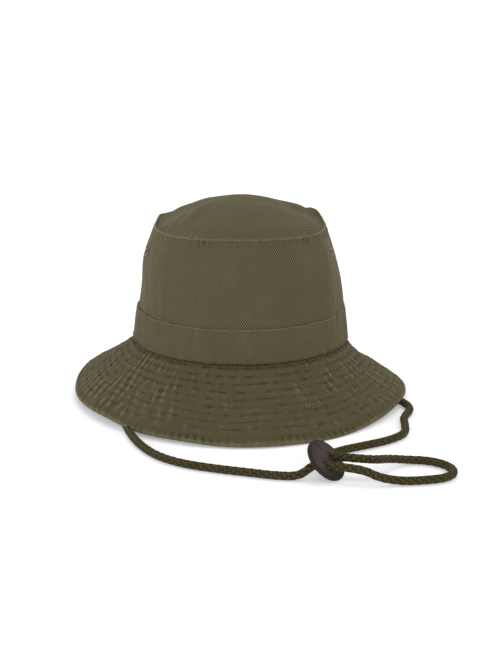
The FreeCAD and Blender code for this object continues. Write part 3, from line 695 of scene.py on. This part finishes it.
def softBox(inner, outer, low, high, radius, upright=10):
    # A section with rounded corners as closed loops of outward distances and heights.
    corner = np.linspace(0, np.pi / 2, 4)
    spots = []
    for start, x, y in ((0, outer - radius, high - radius), (1, inner + radius, high - radius),
                        (2, inner + radius, low + radius), (3, outer - radius, low + radius)):
        angle = corner + start * np.pi / 2
        spots.append(np.stack([x + radius * np.cos(angle), y + radius * np.sin(angle)], 1))
    falling = np.linspace(high - radius, low + radius, upright + 2)[1:-1]
    inward, outward = (np.full(upright, side) for side in (inner, outer))
    return np.concatenate([spots[0], spots[1], np.stack([inward, falling], 1), spots[2], spots[3],
                           np.stack([outward, falling[::-1]], 1)])


def carried(name, node, section, material, slot, fold, columns=420, shadingAndWear=None, start=0.0, end=360.0):
    # The section carried round the wall. fold adds to the outward distance; the other function given marks
    # how much lighter or darker each place is painted, on the band a painted highlight and painted shade.
    closed = end - start == 360.0
    turns = np.linspace(start, end, columns, endpoint=not closed)[:, None]
    outward, height = section[:, 0][None, :], section[:, 1][None, :]
    loops = wallPoint(turns, height, outward + fold(turns, height))
    uv = clothUv(np.linspace(start, end, columns + closed)[:, None], height, 88.0)
    wearAndLight = 0.12 * crumple(turns, height, 31, (24, 70), (-0.3, 0.3))
    if shadingAndWear:
        wearAndLight = wearAndLight + shadingAndWear(turns, height, outward)
    if closed:
        tube(name, loops, material, wearAndLight, uv=uv, slot=slot, node=node)
    else:
        half = section.shape[0] // 2
        shell(name, loops[:, :half], loops[:, half:][:, ::-1], material, uv[:, :half], wearAndLight[:, :half],
              slot=slot, node=node)


# Bands and tapes: outward distances from the wall, and heights.
band = dict(low=crown["headline"] - 0.4, high=crown["headline"] + 27, inner=0.35, outer=1.85, radius=0.7)


def bandFold(turns, height):
    share = (height - band["low"]) / (band["high"] - band["low"])
    upperWaves = crumple(turns, height, 34, (60, 110), (-0.3, 0.3)) * bell(share - 0.94, 0.1)
    lowerWaves = crumple(turns, height, 35, (50, 90), (-0.3, 0.3)) * bell(share - 0.02, 0.1)
    return (0.55 * wallFolds(turns, height) + 0.22 * crumple(turns, height, 33, (10, 36), (-0.08, 0.08))
            + 0.35 * np.sin(np.pi * share) + 0.16 * upperWaves + 0.3 * lowerWaves)


# Painted highlight along the band's proud top edge and painted shade along its bottom edge over the brim.
def bandHighlightAndShade(turns, height, outward):
    return (0.9 * smooth(band["high"] - 0.7, band["high"] - 0.2, height) * (outward > 0.9)
            - 0.7 * smooth(band["low"] + 2.4, band["low"] + 0.2, height))


inside, headline, rim = -crown["cloth"] - 0.3, crown["headline"], crown["rim"]
carried("hatBand", "hat_band",
        softBox(band["inner"], band["outer"], band["low"], band["high"], band["radius"], 22),
        crownTwill, "crown_twill", bandFold, columns=560, shadingAndWear=bandHighlightAndShade)
carried("sweatband", "sweatband", softBox(inside - 1.3, inside, headline - 0.6, headline + 30, 0.55, 14),
        sweatCotton, "sweatband_cotton",
        lambda turns, height: 0.5 * wallFolds(turns, height) - 0.15
        + 0.15 * crumple(turns, height, 36, (30, 80), (-0.2, 0.2)))
carried("tipSeamTape", "tip_seam_tape", softBox(inside - 1.5, inside - 0.9, rim - 9, rim - 0.8, 0.28, 6),
        tapeCotton, "seam_tape",
        lambda turns, height: 0.1 * crumple(turns, height, 37, (40, 90), (-0.2, 0.2)))
for name, node, middle in (("sideSeamTapeLeft", "side_seam_tape_left", 180.0),
                           ("sideSeamTapeRight", "side_seam_tape_right", 0.0)):
    carried(name, node, softBox(inside - 0.7, inside - 0.1, headline + 30.6, rim - 9.6, 0.28, 40), tapeCotton,
            "seam_tape", lambda turns, height: 0.8 * wallFolds(turns, height), columns=14, start=middle - 4.3,
            end=middle + 4.3)
carried("sizeLabel", "size_label",
        softBox(inside - 2.3, inside - 1.75, headline + 6, headline + 22, 0.25, 14),
        labelSatin, "label_satin",
        lambda turns, height: 0.12 * np.sin(height * 0.5) + 0.5 * wallFolds(turns, height), columns=26,
        start=90 - 6.6, end=90 + 6.6)
print("bands and tapes made")


# Brim. edge is a turn and a height. A swell, flare or hump is a turn, a rise or depth and a width. The
# quilting's shares say how much each wave adds to the rise, in millimetres, and to the painted light and
# shade: lighter on the pillows, darker in the grooves, puckers and seams.
brimLow, brimHigh = span("brim_upper_front")
brim = dict(
    innerHalf=88.9, outerHalf=brimHigh[0], outerLength=-brimLow[1], innerHeight=46.45, stack=3.1, slope=67.0,
    edge=[(0, 2.5), (20, 1.2), (40, 2.6), (60, 3.0), (90, 0.5), (120, 4.5), (145, 9.5), (168, 8.5),
          (190, 5.0), (206, 5.0), (222, 5.6), (238, 2.0), (253, 2.6), (268, 0.0), (285, 0), (305, 0),
          (320, 2.0), (335, 5.4), (350, 4.6)], edgeWidth=11,
    swells=[(190, 0.8, 22), (272, 6.5, 38), (20, -3.0, 16), (350, 0.6, 12)],
    flares=[(25, 9.0, 32), (185, 2.0, 30), (150, 1.6, 18)], humps=[(33, -4.4, 22), (136, 2.6, 18)],
    rowFirst=3.6, rowSpacing=6.3, rowCount=9, edgeRow=5.2, rollFrom=0.978, lowerFollow=0.35, lowerClear=0.2,
    upperGrid=(460, 84), lowerGrid=(340, 66), coneRadius=117, coneTurn=0.8)
quiltRise = dict(pillow=0.36, groove=0.60, front=0.4, pucker=0.50, fine=0.12, cell=0.12, fade=0.8, dash=0.15,
                 seam=0.45)
quiltPaintedLight = dict(pillow=0.20, groove=0.78, front=0.1, pucker=0.44, fine=0.20, cell=0.20, fade=0.7, dash=0.15,
                 seam=0.5)


def edgeHeight(turn):  # between the listed places, the nearer ones weigh more
    weights = [bell(apart(turn, place), brim["edgeWidth"]) for place, _ in brim["edge"]]
    return sum(w * height for w, (_, height) in zip(weights, brim["edge"])) / sum(weights)


def brimQuilt(turn, share):
    # Rows of stitches draw the cloth down, the strips between them pillow up, and short puckers run across
    # each strip, stronger on the flanks. Returns the rise in millimetres and how much lighter or darker each
    # place is painted: painted highlight on the pillows, painted shade in the grooves, puckers and seams.
    b = brim
    down = share * b["slope"]
    edge = b["slope"] - down
    phase = (down - b["rowFirst"]) / b["rowSpacing"]
    row = np.clip(np.round(phase), 0, b["rowCount"] - 1)
    near = down - b["rowFirst"] - row * b["rowSpacing"]
    groove = bell(near, 0.82) + bell(edge - b["edgeRow"], 0.8)
    pillow = np.sin(np.pi * np.clip(phase, -0.5, b["rowCount"] - 0.5)) ** 2
    patch = smooth(-1.2, 1.4, crumple(turn, down, 51, (3, 11), (-0.05, 0.05)))
    flank = (bells(turn, [(202, 1, 26), (20, 0.6, 40), (150, 0.7, 40)])
             + bells(turn, [(342, 0.85, 22)]) * (1.3 - share))
    front = bell(apart(turn, 272), 30)
    strength = (0.20 + 0.34 * patch + 0.62 * flank) * (1 - 0.78 * front)
    rowWaves = crumple(turn, row * 97, 57, (8, 60), (-0.5, 0.5), 40)
    rowShow = (0.42 + 0.70 * smooth(-1.0, 1.4, rowWaves)) * (1.2 - 0.4 * share)
    puckers = crumple(turn, down, 52, (62, 120), (-0.42, 0.16), 34)
    broken = np.abs(crumple(turn, down, 53, (20, 60), (-0.5, 0.5)))
    puckers = 0.6 * puckers + 0.4 * np.maximum(puckers, -0.4) * broken
    fine = crumple(turn, down, 54, (120, 190), (-0.8, 0.8), 30)
    cells = np.tanh(crumple(turn, row * 83, 59, (70, 130), (-0.5, 0.5), 30)) * bell(near, 3.4) * front
    cells = cells * smooth(-0.6, 1.2, crumple(turn, down, 60, (10, 24), (-0.12, 0.12)))
    dashes = crumple(turn, row * 91, 58, (18, 80), (-0.5, 0.5), 40) * bell(np.abs(near) - 1.3, 1.2)
    edgeBand = bell(edge - 3.0, 2.2)
    roped = crumple(turn, down, 55, (128, 160), (-0.3, 0.1), 16)
    slow = crumple(turn, down, 56, (4, 13), (-0.05, 0.05))
    seam = bell(sideGap(turn) * (1.5 + 0.95 * share), 0.8)

    def quilted(q):
        rows = (q["pillow"] * pillow - q["groove"] * groove) * rowShow * (1 + q["front"] * front)
        across = (q["pucker"] * puckers + q["fine"] * fine) * strength + q["cell"] * cells
        return rows + across * (1 - q["fade"] * edgeBand) + q["dash"] * dashes - q["seam"] * seam

    rise = quilted(quiltRise) - 0.34 * roped * edgeBand * (0.6 + 0.4 * patch) + 0.7 * slow * share
    # Painted light and shade of the quilting, with painted shade on the roped edge's puckers.
    tone = quilted(quiltPaintedLight) - 0.62 * np.maximum(roped, 0) * edgeBand
    # Painted shade under the band at the brim's root, and a lighter edge line, partly rubbed wear and partly
    # painted highlight.
    return rise, tone - 0.5 * bell(down, 3.0) + 0.6 * smooth(1.8, 0.3, edge)


def brimPoint(turn, share, lift):
    # Point on the brim: straight down its slope from the headline to the edge, with a sag, flares and humps.
    b = brim
    swell = bells(turn, b["swells"])
    inner = b["innerHalf"] * crown["ratio"]
    half = b["innerHalf"] + (b["outerHalf"] - b["innerHalf"] + swell) * share
    length = inner + (b["outerLength"] - inner + swell) * share
    flared = 4.6 * share ** 0.8 * (1 - share) ** 2.2 * bells(turn, b["flares"])
    humped = 17.6 * share * (1 - share) ** 6 * bells(turn, b["humps"])
    height = (b["innerHeight"] + (edgeHeight(turn) - b["innerHeight"]) * share - 1.2 * np.sin(np.pi * share)
              - flared + humped + lift)
    return np.stack([half * np.cos(np.radians(turn)), length * np.sin(np.radians(turn)), height], -1)


def brimUv(turn, share, middle):
    # The flat cut of a cone: its turn shrinks as its sides lean, and its radius runs down the slope.
    radius = (brim["coneRadius"] + share * brim["slope"]) * mm
    swing = np.radians(turn - middle) * brim["coneTurn"]
    return np.stack([radius * np.sin(swing), -radius * np.cos(swing)], -1)


def skinGap(rise, upper):  # from the middle of the brim's plies to the upper skin, or down to the lower one
    half = brim["stack"] / 2
    return half + rise if upper else brim["lowerFollow"] * rise + brim["lowerClear"] - half


def brimPly(name, node, middle, upper):
    # Half the upper or lower cloth. Its rows are even down the brim and then close together round the rolled
    # edge, where both its skins come in to the middle.
    b = brim
    columns, count = b["upperGrid"] if upper else b["lowerGrid"]
    sign, centre, rollFrom, rollOver = 1 if upper else -1, b["stack"] / 2, b["rollFrom"], 1 - b["rollFrom"]
    turns = np.linspace(middle - 90, middle + 90, columns)[:, None]
    share = np.concatenate([np.linspace(0, rollFrom, count - 9),
                            rollFrom + rollOver * np.sin(np.linspace(0, np.pi / 2, 10)[1:])])[None, :]
    rise, tone = brimQuilt(turns, share)
    roll = np.sqrt(np.clip(1 - (np.clip(share - rollFrom, 0, 1) / rollOver) ** 2, 0, 1))
    skin = skinGap(rise * smooth(0, 0.02, share) if upper else rise, upper) * roll
    back = sign * np.maximum(sign * skin - crown["cloth"], 0.12 * roll)
    outer = brimPoint(turns, share, centre + skin)
    if not upper:
        outer[..., 2] = np.maximum(outer[..., 2], 0.02)
    shell(name, outer, brimPoint(turns, share, centre + back), brimTwill, brimUv(turns, share, middle),
          tone if upper else 0.6 * tone, slot="brim_twill", node=node)


brimPly("brimUpperFront", "brim_upper_front", 270.0, True)
brimPly("brimUpperRear", "brim_upper_rear", 90.0, True)
brimPly("brimLowerFront", "brim_lower_front", 270.0, False)
brimPly("brimLowerRear", "brim_lower_rear", 90.0, False)
for name, node, middle in (("brimStiffenerFront", "brim_stiffener_front", 270.0),
                           ("brimStiffenerRear", "brim_stiffener_rear", 90.0)):
    turns = np.linspace(middle - 89.9, middle + 89.9, 120)[:, None]
    share = np.linspace(0.06, 0.93, 24)[None, :]
    shell(name, brimPoint(turns, share, 1.62), brimPoint(turns, share, 1.42), interlining,
          brimUv(turns, share, middle), 0 * turns * share, slot="interlining", node=node)
print("brim made")


# Stitches: one small rounded bar each, laid along its seam. Places and rises are along one stitch, and rises
# and widths are shares of its radius.
stitch = dict(length=2.3, gap=0.75, radius=0.26, sink=0.12, sides=5, places=[-0.40, -0.30, 0.0, 0.30, 0.40],
              rises=[-0.9, -0.1, 0.35, -0.1, -0.9], widths=[0.45, 0.95, 1.0, 0.95, 0.45])


def stitchRow(spots, normals):
    # spots and normals are points evenly along a seam. Each stitch lies between two of them, bowed up in its
    # middle.
    s = stitch
    along = spots[1:] - spots[:-1]
    middle = (spots[:-1] + spots[1:]) / 2
    up = unit(normals[:-1] + normals[1:])
    across = unit(np.cross(along, up))
    along, middle, up, across = (value[:, None, None] for value in (along, middle, up, across))
    place = np.array(s["places"])[None, :, None, None]
    wide = s["radius"] * np.array(s["widths"])[None, :, None, None]
    lift = s["radius"] * np.array(s["rises"])[None, :, None, None] - s["sink"]
    ring = np.linspace(0, tau, s["sides"], endpoint=False)[None, None, :, None]
    shape = middle + place * along + (lift + wide * np.sin(ring)) * up + wide * np.cos(ring) * across
    count, rings, sides = shape.shape[:3]
    _, _, bar = rodFaces(rings, sides, [[3, 2, 1, 0], [0, 4, 3, 3]])
    faces = (np.arange(count) * rings * sides)[:, None, None] + bar[None]
    return shape.reshape(-1, 3), faces.reshape(-1, 4)


def stitches(name, seams, slot):
    points, faces, first = [], [], 0
    for spots, normals in seams:
        p, f = stitchRow(spots, normals)
        points.append(p)
        faces.append(f + first)
        first += len(p)
    putDown(name, np.concatenate(points), np.concatenate(faces), thread, slot)


def seamLine(surface, length):
    # Places of the stitches evenly along a seam of about this length, with the surface's own normals there.
    # surface gives points for a share along the seam and a small sideways step.
    count = int(length / (stitch["length"] + stitch["gap"]))
    share = np.linspace(0, 1, count * 8)
    line = surface(share, 0.0)
    travelled = np.concatenate([[0], np.cumsum(np.linalg.norm(np.diff(line, axis=0), axis=1))])
    even = np.interp(np.linspace(0, travelled[-1], count), travelled, share)
    spot, ahead, beside = surface(even, 0.0), surface(even + 1e-4, 0.0), surface(even, 0.4)
    return spot, unit(np.cross(ahead - spot, beside - spot))


def brimSeam(down, upper):
    b = brim

    def surface(share, step):
        turn = share * 360
        s = (down + step) / b["slope"] + 0 * share
        rise, _ = brimQuilt(turn, s)
        return brimPoint(turn, s, b["stack"] / 2 + skinGap(rise, upper))

    half = b["innerHalf"] + (b["outerHalf"] - b["innerHalf"]) * down / b["slope"]
    spots, normals = seamLine(surface, half * 1.06 * tau)
    return spots, normals * np.sign(normals[:, 2:3]) * (1 if upper else -1)


def wallSeam(height, outward, fold):
    def surface(share, step):
        turn = share * 360
        h = height + step + 0 * share
        return wallPoint(turn, h, outward + fold(turn, h))

    spots, normals = seamLine(surface, wallHalf(height) * 1.05 * tau)
    return spots, normals * np.sign(np.sum(normals * spots * [1, 1, 0], 1, keepdims=True))


def rimRowFold(turn, height):
    return wallFolds(turn, height) + crown["pucker"] * rimPuckers(turn, height) - crown["rowDip"]


rowsDown = [brim["rowFirst"] + brim["rowSpacing"] * i for i in range(brim["rowCount"])]
rowsDown.append(brim["slope"] - brim["edgeRow"])
stitches("brimStitchesAbove", [brimSeam(down, True) for down in rowsDown], "brim_twill")
stitches("brimStitchesBelow", [brimSeam(down, False) for down in rowsDown], "brim_twill")
stitches("rimStitches", [wallSeam(rim - crown["seamRow"], -0.05, rimRowFold)], "crown_twill")
stitches("bandStitches", [wallSeam(height, band["outer"] - 0.02, bandFold)
                          for height in (band["high"] - 1.9, band["low"] + 2.2)], "crown_twill")
print("stitches made")


def turnedRing(name, node, section, shadingAndWear, seat, axis):
    # A closed section of radii and heights turned round the eyelet's axis.
    side = unit(np.cross(axis, [0, 0, 1.0]))
    top = np.cross(side, axis)
    angle = np.linspace(0, tau, eyelet["sides"], endpoint=False)[:, None, None]
    loops = (seat + section[None, :, 0:1] * (np.cos(angle) * side + np.sin(angle) * top)
             + section[None, :, 1:2] * axis)
    tube(name, loops, brass, np.broadcast_to(shadingAndWear, loops.shape[:2]), slot="eyelet_brass", node=node)


def eyeletSection():
    # Rolled flange: half a torus on the outside, a barrel through the cloth, and a smaller roll inside.
    e = eyelet
    middle, wide = (e["bore"] + e["flange"]) / 2, (e["flange"] - e["bore"]) / 2
    bow = np.linspace(0, np.pi, 13)
    outer = np.stack([middle + wide * np.cos(bow), e["lift"] + e["roll"] * np.sin(bow)], 1)
    inner = np.stack([e["bore"] + 0.45 - 0.45 * np.cos(bow), e["barrelLow"] - 0.4 * np.sin(bow)], 1)
    shadingAndWear = np.concatenate([np.sin(bow) ** 0.7 * smooth(2.9, 2.0, bow), np.zeros(len(bow) + 1)])
    return np.concatenate([outer, inner, [[e["bore"] + 0.5, -0.1]]]), shadingAndWear


eyeletShape, eyeletWear = eyeletSection()
washerShape = softBox(eyelet["washerBore"], eyelet["washer"], -1.65, -1.1, 0.2, 1)
for spot, turn in eyeletSpots.items():
    turns, heights = turn + np.array([0, 0.5, 0]), eyelet["height"] + np.array([0, 0, 0.5])
    near = wallPoint(turns, heights, wallFolds(turns, heights))
    seat = near[0]
    axis = unit(np.cross(near[1] - seat, near[2] - seat))
    axis = axis * np.sign(np.dot(axis[:2], seat[:2]))
    label = spot.title().replace("_", "")
    turnedRing("eyelet" + label, "eyelet_" + spot, eyeletShape, eyeletWear, seat + eyelet["lift"] * axis,
               axis)
    turnedRing("washer" + label, "eyelet_washer_" + spot, washerShape, 0.3, seat, axis)
print("eyelets made")


# Cord tabs: wide and deep are shares of the frame's tab, and around and tall are the sizes of its flat
# pattern.
tab = dict(rings=40, sides=56, square=3.2, wide=0.97, deep=0.98, around=40.0, tall=18.0)


def cordTab(name, node):
    # A folded tab of twill round the cord's end: a rounded section carried up, pinched at its top and bottom
    # seams.
    low, high = span(node)
    turns = np.linspace(0, tau, tab["sides"], endpoint=False)
    rise = np.linspace(0, 1, tab["rings"])[:, None]
    pinch = 1 - 0.30 * smooth(0.80, 1.0, rise) - 0.10 * bell(rise - 0.12, 0.05)
    close = np.sqrt(np.clip(1 - ((np.abs(rise - 0.5) - 0.46) / 0.04).clip(0, 1) ** 2, 0.0, 1))
    n = tab["square"]
    reach = (np.abs(np.cos(turns)) ** n + np.abs(np.sin(turns)) ** n) ** (-1 / n)
    waves = np.sin(9 * rise + 3 * turns)
    x = tab["wide"] / 2 * np.cos(turns) * reach * pinch * close * (1 + 0.02 * waves)
    y = tab["deep"] / 2 * np.sin(turns) * reach * (0.94 + 0.06 * pinch) * close * (1 + 0.02 * waves)
    loops = (low + high) / 2 + (high - low) * np.stack(np.broadcast_arrays(x, y, rise - 0.5), -1)
    i, k = loopFaces(tab["rings"], tab["sides"], closed=False)
    around = (k[:, :1] + [0, 0, 1, 1]) / tab["sides"] * tab["around"]
    uv = np.stack([around, rise[i, 0] * tab["tall"]], -1) * mm
    putDown(name, loops.reshape(-1, 3), i * tab["sides"] + k, crownTwill, "crown_twill", node=node, uv=uv,
            wearAndLight=0.3 * waves)


cordTab("cordTabLeft", "cord_tab_left")
cordTab("cordTabRight", "cord_tab_right")


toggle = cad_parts["toggle"]
toggle.data.materials.clear()
toggle.data.materials.append(leather)
print("tabs and toggle finished")


# Floor and light. A lamp is its name, its heading and height in degrees, its spread in degrees and its
# strength.
studio = dict(floor=paint(243, 242, 245), glow=0.33, world=0.35, side=30.0, lampDistance=2,
              lamps=[("key", 72, 58, 60, 0.90), ("front", -80, 30, 60, 1.32), ("left", 184, 8, 50, 1.60),
                     ("right", -6, 10, 50, 0.50)])



def floorFinish():
    # Pale diffuse floor. Camera, mirror and glass rays also see an even white glow, and the shadow stays.
    f = Finish("floorFinish")
    camera, mirror, glass = (f.node("LightPath", {}, {}, out=i)
                             for i in ("Is Camera Ray", "Is Glossy Ray", "Is Transmission Ray"))
    seen = camera.largest(mirror).largest(glass)
    matte = f.node("BsdfDiffuse", {}, {"Color": studio["floor"]})
    glow = f.node("Emission", {}, {"Color": (1, 1, 1, 1), "Strength": studio["glow"]})
    both = f.node("AddShader", {}, [matte, glow])
    f.node("OutputMaterial", {}, [f.node("MixShader", {}, [seen, matte, both])])
    return f.material


side = studio["side"]
ground = bpy.data.meshes.new("floor")
ground.from_pydata([(-side, -side, 0), (side, -side, 0), (side, side, 0), (-side, side, 0)], [],
                   [(0, 1, 2, 3)])
floor = bpy.data.objects.new("floor", ground)
bpy.context.scene.collection.objects.link(floor)
ground.materials.append(floorFinish())

# The world lights the hat faintly, and the camera sees it white.
world = bpy.data.worlds.new("studio")
bpy.context.scene.world = world
world.use_nodes = True
tree = world.node_tree
tree.nodes.clear()
rays = tree.nodes.new("ShaderNodeLightPath")
plain = tree.nodes.new("ShaderNodeBackground")
plain.inputs["Color"].default_value = (1.0, 1.0, 1.0, 1)
plain.inputs["Strength"].default_value = studio["world"]
white = tree.nodes.new("ShaderNodeBackground")
white.inputs["Strength"].default_value = 1.0
white.inputs["Color"].default_value = (1, 1, 1, 1)
mixed = tree.nodes.new("ShaderNodeMixShader")
shown = tree.nodes.new("ShaderNodeOutputWorld")
tree.links.new(rays.outputs["Is Camera Ray"], mixed.inputs[0])
tree.links.new(plain.outputs[0], mixed.inputs[1])
tree.links.new(white.outputs[0], mixed.inputs[2])
tree.links.new(mixed.outputs[0], shown.inputs["Surface"])


def aim(heading, rise):
    return Vector((np.cos(heading) * np.cos(rise), np.sin(heading) * np.cos(rise), np.sin(rise)))


for name, heading, rise, spread, strength in studio["lamps"]:
    lamp = bpy.data.lights.new(name, "SUN")
    lamp.angle, lamp.energy = np.radians(spread), strength
    holder = bpy.data.objects.new(name, lamp)
    holder.location = aim(np.radians(heading), np.radians(rise)) * studio["lampDistance"]
    holder.rotation_euler = (-holder.location).to_track_quat("-Z", "Y").to_euler()
    bpy.context.scene.collection.objects.link(holder)

bpy.context.scene.view_settings.view_transform = "Standard"
print("stage set")
